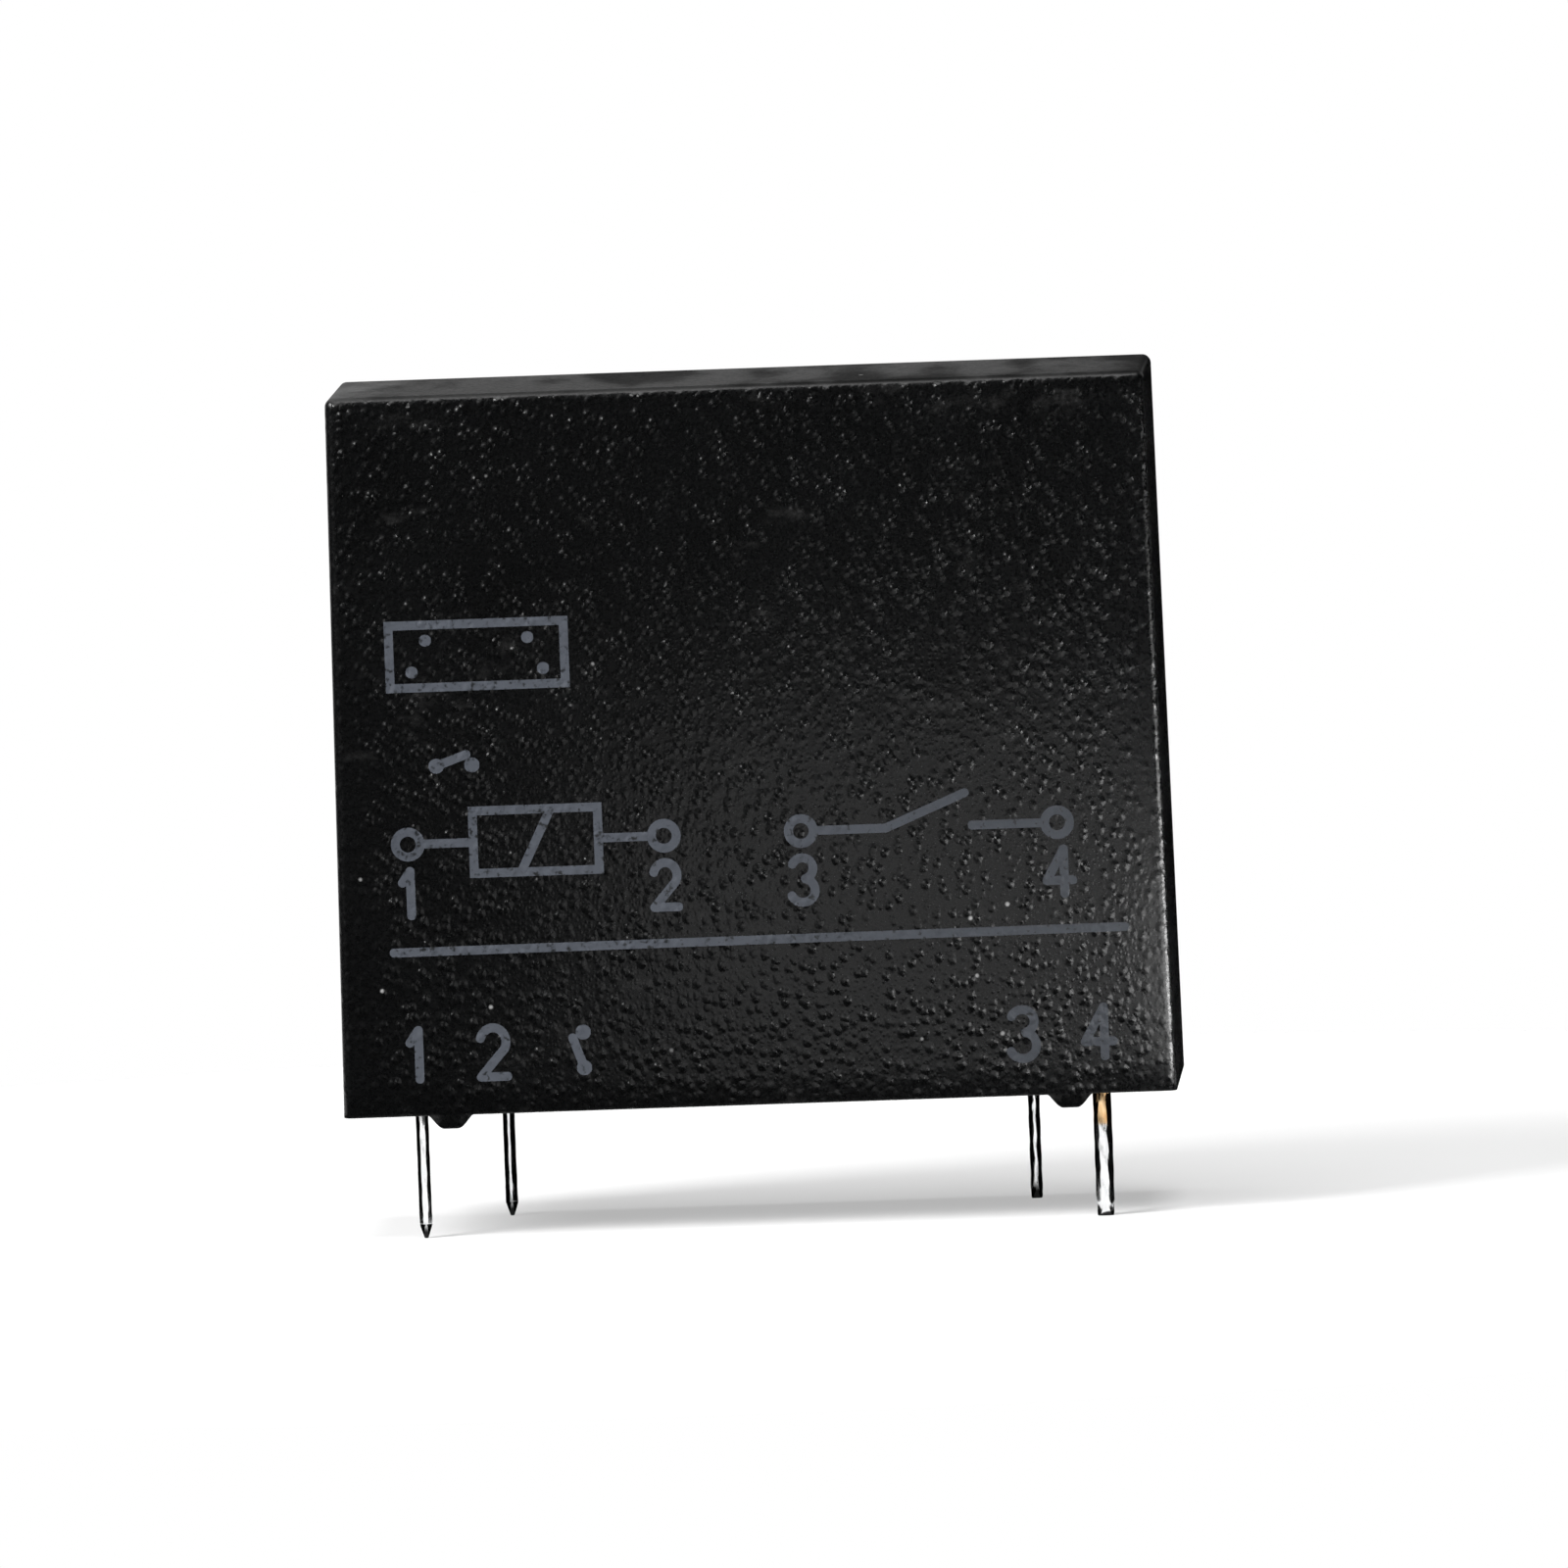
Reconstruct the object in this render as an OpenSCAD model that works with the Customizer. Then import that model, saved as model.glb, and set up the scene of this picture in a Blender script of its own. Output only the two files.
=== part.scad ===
// Slim power relay for a printed circuit board: a sealed black case over a
// hinged-armature magnet and one normally open contact, joined by a sliding card.
// Millimetres. The origin is the middle of the board plane under the stand-off
// feet, X runs along the case, Y across it from front to back, and Z up.

/* [Case] */
// Length of the case at its open rim
body_l = 28; // [25.2:0.1:32]
// Width of the case at its open rim
body_w = 10; // [9:0.1:13]
// Height of the case from its rim to its roof
body_h = 24.2; // [21.7:0.1:30]
// Inward lean of each side wall between rim and roof
draft_w = 0.25; // [0.05:0.05:0.35]
// Thickness of the side walls
wall = 0.7; // [0.5:0.05:0.75]
// Thickness of the roof
roof = 0.8; // [0.5:0.1:1.2]
// Rounding of the outer edges
edge_r = 0.3; // [0.2:0.05:0.6]
// Height of the stand-off feet
foot_h = 0.45; // [0.2:0.05:1]
// Width of a foot where it leaves the rim
foot_w = 1.5; // [1:0.1:2.5]
// Share of a foot's half width that its flared side takes
flare_share = 0.7; // [0.3:0.05:0.8]
// Distance of the feet from the ends of the case
foot_inset = 3.6; // [2:0.1:8]

/* [Pins] */
// Grid that the four pins stand on
pitch = 2.54; // [2.46:0.02:2.58]
// Distance of the outer pins from the ends of the case
pin_inset = 2.57; // [2.4:0.01:4]
// Distance of the pin rows from the long sides of the case
row_inset = 1.19; // [1.14:0.01:1.6]
// Reach of the pins below the board plane
pin_len = 3.75; // [2:0.05:6]
// Diameter of the coil pins
coil_pin_d = 0.4; // [0.3:0.05:0.5]
// Sheet thickness of the fixed terminal
fixed_t = 0.55; // [0.4:0.05:0.8]
// Sheet thickness of the moving terminal
moving_t = 0.35; // [0.3:0.05:0.6]
// Width of the contact pins across the case
blade_pin_w = 0.5; // [0.3:0.05:0.55]
// Height of the tapered pin ends
tip_l = 0.45; // [0.2:0.05:0.8]
// Share of a coil pin's width that is left at its point
point_share = 0.25; // [0.1:0.05:0.9]
// Share of a contact pin's width that is left at its blunt end
blunt_share = 0.8; // [0.5:0.05:0.95]
// Chamfer along the coined edges of the contact pins
coin_w = 0.1; // [0.02:0.01:0.12]
// Height of the coil pins' wrap posts above the bobbin's foot
post_h = 1.7; // [1:0.1:3]

/* [Base] */
// Depth of the sealing resin inside the rim
resin_inset = 0.15; // [0.05:0.05:0.3]
// Thickness of the sealing resin
resin_t = 0.35; // [0.2:0.05:0.6]
// Thickness of the base plate
base_t = 1.8; // [1.2:0.1:2.2]
// Thickness of the barrier between coil and contact
barrier_t = 1; // [0.6:0.1:1.4]
// Room between the hinge spring and the barrier
barrier_gap = 1.5; // [0.8:0.1:2.5]
// Depth of the barrier's top edge below the pole face
barrier_drop = 0.4; // [0:0.1:3]
// Height of the rib that backs the fixed terminal
rib_h = 6; // [2:0.5:10]

/* [Magnet] */
// Distance of the coil axis from the end of the case
coil_inset = 7; // [6.8:0.1:7.6]
// Room for the armature between the pole face and the roof
headroom = 3.45; // [3:0.05:5]
// Depth of the pole head's edge inside the bobbin flanges
pole_inset = 0.45; // [0.2:0.05:1]
// Thickness of the pole head
pole_t = 1; // [0.6:0.1:1.4]
// Step from the core down to its riveted neck in the yoke
neck_step = 0.4; // [0.3:0.05:0.6]
// Thickness of the yoke
yoke_t = 1.4; // [1:0.1:1.6]
// Room between the yoke's edges and the coil pins
yoke_gap = 0.485; // [0.2:0.005:1]
// Reach of the yoke's foot past the coil axis
yoke_tail = 4; // [3.4:0.1:4.6]
// Inner radius of the yoke's bend
yoke_bend = 0.2; // [0.1:0.05:0.4]
// Radius of the yoke edge that the armature rocks on
knife_r = 0.25; // [0.15:0.05:0.5]
// Reach of the bobbin flanges from the coil axis to the yoke
flange_l = 4.2; // [4:0.1:4.4]
// Reach of the bobbin flanges from the coil axis to the end wall
flange_tail = 4.9; // [4.7:0.1:5.2]
// Room between the bobbin flanges and the case walls at the rim
flange_gap = 0.55; // [0.4:0.05:0.8]
// Radius that trims the corners of the bobbin flanges
flange_r = 5.6; // [5.5:0.1:6]
// Thickness of the bobbin's upper flange
flange_t = 0.8; // [0.5:0.1:1.2]
// Thickness of the bobbin's foot, which holds the coil pins
bobbin_foot_t = 1.2; // [0.8:0.1:2]
// Length along the case of the block around each coil pin
pin_block_l = 1.4; // [1:0.1:2]
// Wall thickness of the bobbin tube
tube_t = 0.6; // [0.4:0.05:0.8]
// Depth of the winding's surface inside the bobbin flanges
winding_inset = 0.15; // [0.05:0.05:0.5]
// Depth of the winding's layers on the tube
winding_t = 1.06; // [0.8:0.02:1.3]
// Diameter of the winding wire
wire_d = 0.12; // [0.08:0.01:0.16]
// Number of wire turns round each wrap post
wrap_turns = 5; // [3:1:8]

/* [Armature] */
// Thickness of the armature
arm_t = 1.2; // [0.9:0.1:1.4]
// Width of the armature
arm_w = 5.6; // [4.6:0.1:6.4]
// Angle through which the armature swings, in degrees
swing = 5.4; // [3:0.1:6]
// Overhang of the armature past the pole head
pole_over = 0.1; // [0:0.05:0.5]
// Depth of the card below the armature's hinge line
card_drop = 5.65; // [5:0.05:6.4]
// Reach of the armature's leg below the card's middle
leg_over = 1.2; // [0.9:0.1:1.6]
// Thickness of the hinge spring
spring_t = 0.2; // [0.12:0.02:0.26]
// Width of the hinge spring
spring_w = 5.6; // [5:0.1:6.2]
// Length of the hinge spring's foot on the yoke
spring_foot = 6; // [4:0.25:7]
// Bend radius of the hinge spring
spring_bend = 0.4; // [0.3:0.05:0.6]

/* [Contact] */
// Thickness of the card
card_t = 1.4; // [1:0.1:1.6]
// Width of the card
card_w = 2.8; // [2:0.1:3]
// Width of the card's pusher at the contact leaf
pusher_w = 4; // [3:0.1:4.6]
// Length of the card's pusher
pusher_l = 1.5; // [1:0.1:2.5]
// Radius of the card's two noses
nose_r = 0.9; // [0.85:0.05:1.2]
// Thickness of the contact leaf
leaf_t = 0.25; // [0.15:0.01:0.3]
// Width of the contact leaf
leaf_w = 5; // [4:0.1:6]
// Height of the moving terminal's flag, which clamps the leaf
flag_h = 3.45; // [2.6:0.05:4]
// Height of the contact above the card's middle
contact_rise = 4; // [3:0.1:4.4]
// Diameter of the contact heads
contact_d = 3; // [2.4:0.1:3.4]
// Height of the moving contact's head
head_h = 0.6; // [0.4:0.05:0.7]
// Radius of the moving contact's dome
dome_r = 3; // [2.5:0.1:5]
// Diameter of the contact shanks
shank_d = 1.4; // [1:0.1:1.8]
// Width of the fixed terminal's blade
blade_w = 4.4; // [3.6:0.1:5]
// Diameter of the rivets that clamp the springs
rivet_d = 1; // [0.8:0.1:1.2]
// Height of the rivet heads
rivet_head = 0.4; // [0.25:0.05:0.5]

/* [Fits] */
// Room between the base plate and the case walls
base_fit = 0.05; // [0.02:0.01:0.08]
// Room round a pin, rivet, core or foot in its seat
seat_fit = 0.02; // [0.01:0.01:0.04]
// Room between the armature and the faces that it closes on
rock_fit = 0.03; // [0.02:0.01:0.05]
// Room of the card in its window and between its neighbours' edges
guide_fit = 0.1; // [0.05:0.01:0.15]
// Play at each end of the card
card_play = 0.02; // [0.01:0.01:0.04]
// Gap that is left between the contacts when the armature is closed
closed_gap = 0.02; // [0.01:0.01:0.05]
// Thinnest plastic beside a pin
pin_web = 0.12; // [0.08:0.01:0.14]

/* [Hidden] */
$fn = 64;
hull_fn = 32;
wire_fn = 24;
bend_steps = 6;
foot_steps = 8;
flare_power = 1.3;
seam = 0.01;
front = -1;
rear = 1;

plastic_black = [0.05, 0.05, 0.055];
plastic_grey = [0.16, 0.16, 0.17];
plastic_cream = [0.82, 0.79, 0.70];
resin_black = [0.09, 0.085, 0.08];
steel = [0.72, 0.73, 0.75];
copper = [0.72, 0.40, 0.22];
bronze = [0.78, 0.58, 0.34];
tin = [0.80, 0.81, 0.82];
silver = [0.90, 0.90, 0.88];

// Case and base
rim_z = foot_h;
foot_x = body_l / 2 - foot_inset;
cavity_l = body_l - 2 * wall;
cavity_w = body_w - 2 * wall;
cavity_h = body_h - roof;
cavity_r = edge_r / 2;
cavity_draft_w = draft_w * cavity_h / body_h;
resin_z = rim_z + resin_inset;
base_z = resin_z + resin_t;
floor_z = base_z + base_t;
plate_l = cavity_l - 2 * base_fit;
plate_w = cavity_w - 2 * base_fit;
plate_notch = cavity_r + base_fit;

// Pin grid: the front row stands one step further out than the rear row
row_y = body_w / 2 - row_inset;
outer_x = body_l / 2 - pin_inset;
inner_x = outer_x - pitch;
front_pin = [-outer_x, front * row_y];
rear_pin = [-inner_x, rear * row_y];
tip_z = -pin_len;

// Magnet: the armature rocks about the rounded outer edge of the yoke
coil_x = body_l / 2 - coil_inset;
pole_z = rim_z + cavity_h - headroom;
magnet_h = pole_z - floor_z;
yoke_w = 2 * (row_y - coil_pin_d / 2 - yoke_gap);
flange_w = cavity_w - 2 * flange_gap;
winding_d = flange_w - 2 * winding_inset;
tube_r = winding_d / 2 - winding_t - seat_fit;
core_d = 2 * (tube_r - tube_t - seat_fit);
neck_d = core_d - 2 * neck_step;
pole_d = flange_w - 2 * pole_inset;
foot_top = floor_z + yoke_t;
bobbin_z = foot_top + bobbin_foot_t;
flange_z = pole_z - pole_t - flange_t;
post_z = bobbin_z + post_h;
limb_x = -coil_x + flange_l + yoke_bend;
limb_face = limb_x + yoke_t;
hinge_x = limb_face - knife_r;
hinge_z = pole_z - knife_r;
arm_in = knife_r + rock_fit;
arm_out = arm_in + arm_t;
arm_l = hinge_x + coil_x + pole_d / 2 + pole_over;
leg_l = card_drop + leg_over;
leg_face = hinge_x + arm_out;
leg_travel = leg_l * sin(swing);

// Hinge spring: from the yoke, out round the armature's leg and over its corner
spring_top = hinge_z - leg_l - 3 * guide_fit - spring_bend;
spring_foot_z = spring_top - spring_foot;
spring_x = leg_face + leg_travel + 2 * guide_fit + spring_t / 2;
hook_z = hinge_z + arm_out + guide_fit + spring_t / 2;
spring_window = card_w + 6 * guide_fit;
spring_rivet_inset = 1.3;
barrier_x = spring_x + spring_t / 2 + barrier_gap + barrier_t / 2;
barrier_h = magnet_h - barrier_drop;

// Contact: the card moves the leaf, which bends about a third of the way up
card_z = hinge_z - card_drop;
leaf_x = inner_x - moving_t / 2 - leaf_t;
leaf_mid = leaf_x + leaf_t / 2;
leaf_face = leaf_x + leaf_t;
flag_z = floor_z + flag_h;
contact_z = card_z + contact_rise;
leaf_edge = 0.3;
leaf_top = contact_z + contact_d / 2 + leaf_edge;
leaf_lift = 0.4;
leaf_pivot = flag_z + (card_z - flag_z) / 3;
card_x = leg_face + card_play;
card_l = leaf_x - card_play - card_x;
card_travel = arm_out * (1 / cos(swing) - 1) + card_drop * tan(swing);
leaf_swing = atan(card_travel / (card_z - leaf_pivot));
dome_x = leaf_t / 2 + head_h - dome_r;
closed_x = leaf_mid + dome_x * cos(leaf_swing) + (contact_z - leaf_pivot) * sin(leaf_swing) + dome_r;
blade_x = outer_x - fixed_t / 2;
fixed_head = blade_x - closed_x - closed_gap;
tail_t = 0.3;
tail_rim = 0.35;
tail_d = shank_d + 2 * tail_rim;
rivet_head_d = 1.8 * rivet_d;
leaf_rivet_y = 0.27 * leaf_w;
leaf_rivet_z = floor_z + flag_h / 2;

// Unit vector, and the same vector turned left by a right angle
function unit(v) = v / norm(v);
function left(v) = [-v[1], v[0]];

// Replaces the inner corners of an open path by arcs of radius r
function bent(path, r) = concat(
    [path[0]],
    [for (i = [1 : len(path) - 2])
        let (a = unit(path[i] - path[i - 1]), b = unit(path[i + 1] - path[i]),
             turn = acos(a * b) * sign(cross(a, b)), side = sign(turn) * r * left(a),
             start = path[i] - a * r * tan(abs(turn) / 2))
        for (k = [0 : bend_steps])
            let (t = turn * k / bend_steps)
            start + side - cos(t) * side - sin(t) * left(side)],
    [path[len(path) - 1]]);

// Point of a path moved sideways by d, mitred between its two neighbours
function beside(path, i, d) =
    let (a = path[max(i, 1)] - path[max(i, 1) - 1],
         j = min(i + 1, len(path) - 1),
         b = path[j] - path[j - 1],
         m = left(unit(a)) + left(unit(b)))
    path[i] + 2 * d * m / (m * m);

// Outline of a strip of thickness t along a path
function strip(path, t) = concat(
    [for (i = [0 : len(path) - 1]) beside(path, i, t / 2)],
    [for (i = [len(path) - 1 : -1 : 0]) beside(path, i, -t / 2)]);

// Smooth step from 0 to 1
function smooth(u) = u * u * (3 - 2 * u);

// Point of a foot's flared side, from the rim at u = 0 to the board at u = 1
function flare(side, u) =
    [side * (1 - flare_share * pow(u, flare_power)) * foot_w / 2, foot_h * (1 - smooth(u))];

// Extrudes an outline drawn in X and Z by w across the case, about its middle
module across(w) rotate([90, 0, 0]) linear_extrude(w, center = true) children();

// Cylinder along X from x0 to x1
module along_x(x0, x1, d) translate([x0, 0, 0]) rotate([0, 90, 0]) cylinder(d = d, h = x1 - x0);

// Block standing on z = 0, centred in X and Y
module block(l, w, h) translate([-l / 2, -w / 2, 0]) cube([l, w, h]);

// Tapered block with rounded upright and upper edges
module case_block(l, w, h, lean, r) {
    hull() for (sx = [-1, 1], sy = [-1, 1]) {
        translate([sx * (l / 2 - r), sy * (w / 2 - r), 0])
            cylinder(r = r, h = seam, $fn = hull_fn);
        translate([sx * (l / 2 - lean - r), sy * (w / 2 - lean - r), h - r])
            sphere(r = r, $fn = hull_fn);
    }
}

// Plate whose four corners are notched clear of the case's rounded corners
module notched_plate(l, w, h) {
    block(l, w - 2 * plate_notch, h);
    block(l - 2 * plate_notch, w, h);
}

// Stand-off foot: a flared drop that continues the case wall down to the board
module foot() {
    across(wall) polygon(concat(
        [for (i = [0 : foot_steps]) flare(-1, i / foot_steps)],
        [for (i = [foot_steps : -1 : 0]) flare(1, i / foot_steps)]));
}

// Side view of a contact pin of width w and height h with a tapered end
module pin_side(w, h) {
    end_w = w * blunt_share;
    polygon([[-w / 2, h], [-w / 2, tip_l], [-end_w / 2, 0], [end_w / 2, 0], [w / 2, tip_l], [w / 2, h]]);
}

// Eight-sided section of a contact pin that is t thick
module pin_section(t) {
    x = t / 2;
    y = blade_pin_w / 2;
    c = coin_w;
    polygon([
        [-x, c - y], [c - x, -y], [x - c, -y], [x, c - y],
        [x, y - c], [x - c, y], [c - x, y], [-x, y - c]]);
}

// Contact pin from its tip up to the base plate's upper face
module blade_pin(t) {
    h = floor_z - tip_z;
    translate([0, 0, tip_z]) intersection() {
        linear_extrude(h) pin_section(t);
        across(blade_pin_w) pin_side(t, h);
        rotate([0, 0, 90]) across(t) pin_side(blade_pin_w, h);
    }
}

// Round coil pin with a pointed end, from its tip to the top of its wrap post
module coil_pin(at) {
    r = coil_pin_d / 2;
    h = post_z - tip_z;
    translate([at[0], at[1], tip_z]) rotate_extrude()
        polygon([[0, 0], [r * point_share, 0], [r, tip_l], [r, h], [0, h]]);
}

// Lead wire from the winding to a coil pin, with its turns round the wrap post
module coil_lead(at) {
    inner_r = coil_pin_d / 2 + seat_fit;
    wrap_step = 0.9 * wire_d;
    run_d = 0.8 * wire_d;
    lead_z = bobbin_z + 3 * wire_d;
    run = at - [-coil_x, 0];
    reach = norm(run) - winding_d / 2 - seat_fit - inner_r - wire_d / 2;
    translate([at[0], at[1], lead_z]) {
        rotate_extrude() for (i = [0 : wrap_turns - 1])
            translate([inner_r + wire_d / 2, i * wrap_step]) circle(d = wire_d, $fn = wire_fn);
        rotate([0, 0, atan2(-run[1], -run[0])]) translate([inner_r + wire_d / 2, 0, 0])
            rotate([0, 90, 0]) cylinder(d = run_d, h = reach, $fn = wire_fn);
    }
}

// Rivet along X through the stretch x0 to x1, with a head on each side that has one
module rivet(x0, x1, head0, head1) {
    along_x(x0, x1, rivet_d);
    if (head0 > 0) along_x(x0 - head0, x0, rivet_head_d);
    if (head1 > 0) along_x(x1, x1 + head1, rivet_head_d);
}

// Places of the two rivets of each spring
module at_spring_rivets() {
    for (z = [spring_foot_z + spring_rivet_inset, spring_top - spring_rivet_inset])
        translate([0, 0, z]) children();
}

module at_leaf_rivets() {
    for (sy = [-1, 1]) translate([0, sy * leaf_rivet_y, leaf_rivet_z]) children();
}

// Hole for a contact's shank through the sheet between x0 and x1
module contact_hole(x0, x1) {
    translate([0, 0, contact_z]) along_x(x0 - seam, x1 + seam, shank_d + 2 * seat_fit);
}

// Moulded case, open below, with four stand-off feet on its long rims
module cover() color(plastic_black) {
    translate([0, 0, rim_z]) difference() {
        case_block(body_l, body_w, body_h, draft_w, edge_r);
        translate([0, 0, -seam])
            case_block(cavity_l, cavity_w, cavity_h + seam, cavity_draft_w, cavity_r);
    }
    for (sx = [-1, 1], sy = [-1, 1])
        translate([sx * foot_x, sy * (body_w - wall) / 2, 0]) foot();
}

// Base plate with pin slots, the barrier and the seats of the magnet and blade
module base() color(plastic_grey) {
    cheek_w = 0.8;
    cheek_l = 2.4;
    cheek_x = limb_x - cheek_l;
    rib_t = 0.9;
    rib_w = 3;
    difference() {
        union() {
            translate([0, 0, base_z]) notched_plate(plate_l, plate_w, base_t);
            translate([barrier_x, 0, floor_z]) block(barrier_t, flange_w, barrier_h);
            for (sy = [-1, 1])
                translate([cheek_x, sy * (yoke_w / 2 + seat_fit + cheek_w / 2), floor_z])
                    block(cheek_l, cheek_w, yoke_t);
            translate([blade_x + fixed_t + seat_fit + rib_t / 2, 0, floor_z])
                block(rib_t, rib_w, rib_h);
        }
        for (at = [front_pin, rear_pin]) translate([at[0], at[1], base_z - seam])
            cylinder(d = coil_pin_d + 2 * seat_fit, h = base_t + 2 * seam);
        translate([inner_x, rear * row_y, base_z - seam])
            block(moving_t + 2 * seat_fit, blade_pin_w + 2 * seat_fit, base_t + 2 * seam);
        translate([outer_x, front * row_y, base_z - seam])
            block(fixed_t + 2 * seat_fit, blade_pin_w + 2 * seat_fit, base_t + 2 * seam);
        translate([barrier_x, 0, card_z - card_t / 2 - guide_fit])
            block(barrier_t + 2 * seam, card_w + 2 * guide_fit, card_t + 2 * guide_fit);
    }
}

// Cast resin that closes the case below the base plate and grips the pins
module sealing_resin() color(resin_black) {
    translate([0, 0, resin_z]) difference() {
        notched_plate(plate_l, plate_w, resin_t);
        for (at = [front_pin, rear_pin]) translate([at[0], at[1], -seam])
            cylinder(d = coil_pin_d + 2 * seat_fit, h = resin_t + 2 * seam);
        translate([inner_x, rear * row_y, -seam])
            block(moving_t + 2 * seat_fit, blade_pin_w + 2 * seat_fit, resin_t + 2 * seam);
        translate([outer_x, front * row_y, -seam])
            block(fixed_t + 2 * seat_fit, blade_pin_w + 2 * seat_fit, resin_t + 2 * seam);
    }
}

// Flange of the bobbin: a plate with its corners trimmed to a circle
module flange(t) intersection() {
    translate([-flange_tail, -flange_w / 2, 0]) cube([flange_tail + flange_l, flange_w, t]);
    cylinder(r = flange_r, h = t);
}

// Block of the bobbin that holds a coil pin beside the yoke and stands on the base
module pin_block(at) {
    inner = yoke_w / 2 + seat_fit;
    outer = row_y + coil_pin_d / 2 + pin_web;
    translate([at[0], sign(at[1]) * (inner + outer) / 2, floor_z])
        block(pin_block_l, outer - inner, yoke_t + bobbin_foot_t);
}

// Bobbin: foot with the two pin blocks, tube and upper flange
module bobbin() color(plastic_cream) {
    difference() {
        union() {
            translate([-coil_x, 0, foot_top]) flange(bobbin_foot_t);
            translate([-coil_x, 0, foot_top]) cylinder(r = tube_r, h = flange_z + flange_t - foot_top);
            translate([-coil_x, 0, flange_z]) flange(flange_t);
            pin_block(front_pin);
            pin_block(rear_pin);
        }
        translate([-coil_x, 0, foot_top - seam])
            cylinder(d = core_d + 2 * seat_fit, h = pole_z - foot_top);
        for (at = [front_pin, rear_pin]) translate([at[0], at[1], floor_z - seam])
            cylinder(d = coil_pin_d + 2 * seat_fit, h = bobbin_z - floor_z + 2 * seam);
    }
}

// Winding: the turns of the coil as one ring between the flanges
module winding() color(copper) {
    translate([-coil_x, 0, bobbin_z]) difference() {
        cylinder(d = winding_d, h = flange_z - bobbin_z);
        translate([0, 0, -seam]) cylinder(r = tube_r + seat_fit, h = flange_z - bobbin_z + 2 * seam);
    }
}

// Core with its pole head above and its riveted neck in the yoke
module core() color(steel) {
    translate([-coil_x, 0, floor_z]) rotate_extrude() polygon([
        [0, 0], [neck_d / 2, 0], [neck_d / 2, yoke_t], [core_d / 2, yoke_t],
        [core_d / 2, magnet_h - pole_t], [pole_d / 2, magnet_h - pole_t],
        [pole_d / 2, magnet_h], [0, magnet_h]]);
}

// Side view of the yoke: foot, bend, limb and the rounded edge at its top
module yoke_side() {
    bend_r = yoke_bend + yoke_t;
    bend_x = limb_face - bend_r;
    bend_z = floor_z + bend_r;
    tail_x = -coil_x - yoke_tail;
    translate([tail_x, floor_z]) square([bend_x - tail_x, yoke_t]);
    translate([limb_x, bend_z]) square([yoke_t, hinge_z - bend_z]);
    translate([limb_x, hinge_z]) square([yoke_t - knife_r, knife_r]);
    intersection() {
        translate([hinge_x, hinge_z]) circle(knife_r);
        translate([hinge_x, hinge_z]) square(knife_r);
    }
    intersection() {
        translate([bend_x, bend_z]) difference() {
            circle(bend_r);
            circle(yoke_bend);
        }
        translate([bend_x, floor_z]) square(bend_r);
    }
}

// Bent yoke that carries the core, the armature and the hinge spring
module yoke() color(steel) {
    difference() {
        across(yoke_w) yoke_side();
        translate([-coil_x, 0, floor_z - seam])
            cylinder(d = neck_d + 2 * seat_fit, h = yoke_t + 2 * seam);
        at_spring_rivets() along_x(limb_x - seam, limb_face + seam, rivet_d + 2 * seat_fit);
    }
}

// Bell-crank armature at rest: leg upright, pole arm raised by its swing
module armature() color(steel) {
    lift = 90 - swing;
    translate([hinge_x, 0, hinge_z]) rotate([90, 0, 0]) {
        rotate_extrude(angle = lift) translate([arm_in, -arm_w / 2]) square([arm_t, arm_w]);
        linear_extrude(arm_w, center = true) {
            translate([arm_in, -leg_l]) square([arm_t, leg_l]);
            rotate(lift) translate([arm_in, 0]) square([arm_t, arm_l]);
        }
    }
}

// Hinge spring: riveted foot, two arms beside the card and a hook over the hinge
module armature_spring() color(bronze) {
    foot_line = limb_face + spring_t / 2;
    window_z = card_z - leg_over - guide_fit;
    window_h = 2 * (card_z - window_z);
    path = [[foot_line, spring_foot_z], [foot_line, spring_top],
            [spring_x, spring_top + 3 * guide_fit], [spring_x, hook_z], [hinge_x, hook_z]];
    difference() {
        across(spring_w) polygon(strip(bent(path, spring_bend), spring_t));
        translate([spring_x, 0, window_z]) block(2 * spring_t, spring_window, window_h);
        at_spring_rivets() along_x(limb_face - seam, limb_face + 2 * spring_t, rivet_d + 2 * seat_fit);
    }
}

// Rivets that fasten the hinge spring, flush on the coil side of the yoke
module spring_rivets() color(steel) {
    at_spring_rivets() rivet(limb_x, limb_face + spring_t, 0, rivet_head);
}

// Sliding card that passes the armature's stroke through the barrier to the leaf
module card() color(plastic_cream) {
    translate([card_x, 0, card_z]) intersection() {
        union() {
            translate([nose_r, 0, 0]) across(card_w) circle(nose_r);
            translate([nose_r, -card_w / 2, -nose_r]) cube([card_l - 2 * nose_r, card_w, 2 * nose_r]);
            translate([card_l - pusher_l, -pusher_w / 2, -nose_r])
                cube([pusher_l - nose_r, pusher_w, 2 * nose_r]);
            translate([card_l - nose_r, 0, 0]) across(pusher_w) circle(nose_r);
        }
        translate([card_l / 2, 0, -card_t / 2]) block(card_l, pusher_w, card_t);
    }
}

// Contact leaf: clamped on the moving terminal's flag, free at its contact end
module moving_spring() color(bronze) {
    leaf_z = floor_z + leaf_lift;
    tip_r = contact_d / 2 + leaf_edge + contact_d / 3;
    difference() {
        union() {
            translate([leaf_mid, 0, leaf_z]) block(leaf_t, leaf_w, contact_z - leaf_z);
            intersection() {
                translate([leaf_mid, 0, contact_z]) block(leaf_t, leaf_w, leaf_top - contact_z);
                translate([0, 0, contact_z]) along_x(leaf_x - seam, leaf_face + seam, 2 * tip_r);
            }
        }
        at_leaf_rivets() along_x(leaf_x - seam, leaf_face + seam, rivet_d + 2 * seat_fit);
        contact_hole(leaf_x, leaf_face);
    }
}

// Turned contact along X at the contact's height, from an outline of radius and X
module turned_contact(x) translate([x, 0, contact_z]) rotate([0, 90, 0]) rotate_extrude() children();

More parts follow.
